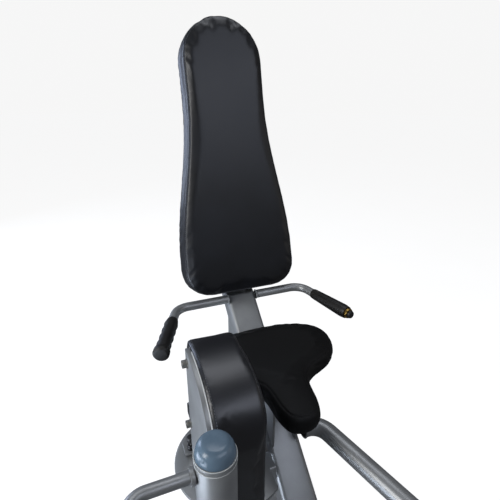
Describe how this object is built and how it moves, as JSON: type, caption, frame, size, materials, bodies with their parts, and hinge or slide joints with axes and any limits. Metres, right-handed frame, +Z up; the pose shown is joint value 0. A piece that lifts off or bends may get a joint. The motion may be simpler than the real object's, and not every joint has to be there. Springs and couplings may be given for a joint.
{
  "type": "seated hip trainer",
  "caption": "Seated hip and leg trainer with a sloping spine, tall back pad, saddle seat, side handles and a padded leg arm that indexes over a pin plate.",
  "frame": {"origin": "on the floor, below the middle of the base and of the whole machine's box", "axes": "+Z up, the user faces -Y, the user's right-hand side (leg pad, range plate, post and lever) is -X"},
  "size_m": [0.8314, 1, 1.3447],
  "materials": {
    "paint": "satin",
    "vinyl": "satin",
    "board": "matte",
    "grip": "matte",
    "cap": "gloss",
    "steel": "satin",
    "brass": "satin",
    "plastic": "matte"
  },
  "bodies": {
    "frame": {"base_rail": "paint", "front_crossbar": "paint", "rear_crossbar": "paint", "post_outrigger": "paint", "spine": "paint", "rear_leg": "paint", "back_upright": "paint", "back_bracket_lower": "paint", "back_bracket_upper": "paint", "upright_cap": "plastic", "back_pad": "vinyl", "back_board": "board", "handle_right": "paint", "handle_left": "paint", "grip_right": "grip", "grip_left": "grip", "grip_ferrule_left": "brass", "grip_plug_left": "plastic", "seat_cushion": "vinyl", "seat_board": "board", "seat_gusset_right": "paint", "seat_gusset_left": "paint", "post": "paint", "post_ring": "paint", "post_cap": "cap", "foot_peg_right": "paint", "foot_peg_left": "paint", "foot_sleeve_right": "grip", "foot_sleeve_left": "grip", "side_tube": "paint", "range_plate": "paint", "damper_body": "plastic", "pivot_bracket": "paint", "lever_bush": "paint", "outrigger_cap": "plastic", "outrigger_foot": "grip", "front_cap_left": "plastic", "front_foot_left": "grip", "front_cap_right": "plastic", "front_foot_right": "grip", "rear_cap_left": "plastic", "rear_foot_left": "grip", "rear_cap_right": "plastic", "rear_foot_right": "grip"},
    "leg_arm": {"pivot_shaft": "steel", "pivot_hub": "paint", "arm_bar": "paint", "pad_plate": "paint", "leg_pad": "vinyl", "pad_bolt_upper": "steel", "pad_bolt_lower": "steel", "pin_tab": "paint", "pin_housing": "steel"},
    "index_plunger": {"index_pin": "steel", "index_knob": "plastic"},
    "hand_lever": {"lever_tube": "paint", "lever_grip": "grip", "lever_plug": "plastic"}
  },
  "joints": [
    {"name": "leg_arm_swing", "type": "hinge", "parent": "frame", "child": "leg_arm", "pos_m": [-0.133, -0.025, 0.37], "axis": [0, 0, 1], "range_deg": [-30, 0]},
    {"name": "pull_pin", "type": "slide", "parent": "leg_arm", "child": "index_plunger", "axis": [0, 0, 1], "range_m": [-0.009, 0.006]},
    {"name": "range_lever", "type": "hinge", "parent": "frame", "child": "hand_lever", "pos_m": [-0.2546, -0.212, 0.594], "axis": [1, 0, 0], "range_deg": [-35, 20]}
  ]
}
